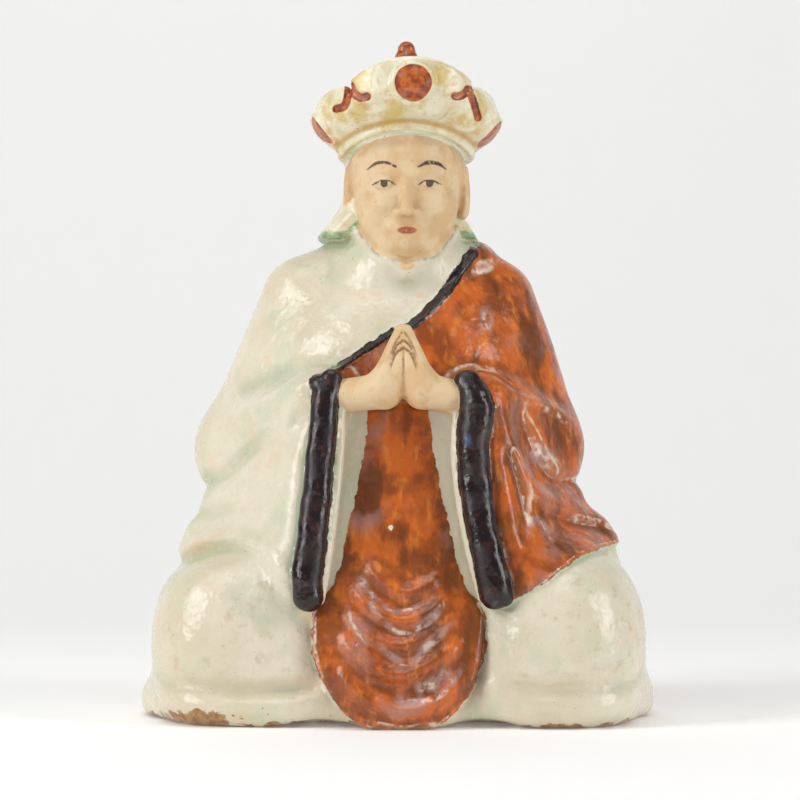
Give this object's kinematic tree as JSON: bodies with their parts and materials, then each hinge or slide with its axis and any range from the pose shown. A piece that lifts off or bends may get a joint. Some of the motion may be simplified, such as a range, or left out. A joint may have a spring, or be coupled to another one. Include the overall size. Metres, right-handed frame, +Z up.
{
  "type": "seated praying figure, glazed porcelain",
  "caption": "Seated robed figure with hands joined in prayer, lobed crown, long hanging sleeves and a draped apron, moulded and glazed in one piece.",
  "frame": {"origin": "middle of the bounding box, on the plane of the underside", "axes": "+Z up, the figure faces -Y, +X is to the right for someone who faces it"},
  "size_m": [0.161, 0.1064, 0.2093],
  "materials": {
    "glaze": "glossy celadon-white and iron-red brushed glaze with dark brown borders"
  },
  "bodies": {
    "root": {"figure": "glaze"}
  },
  "joints": []
}
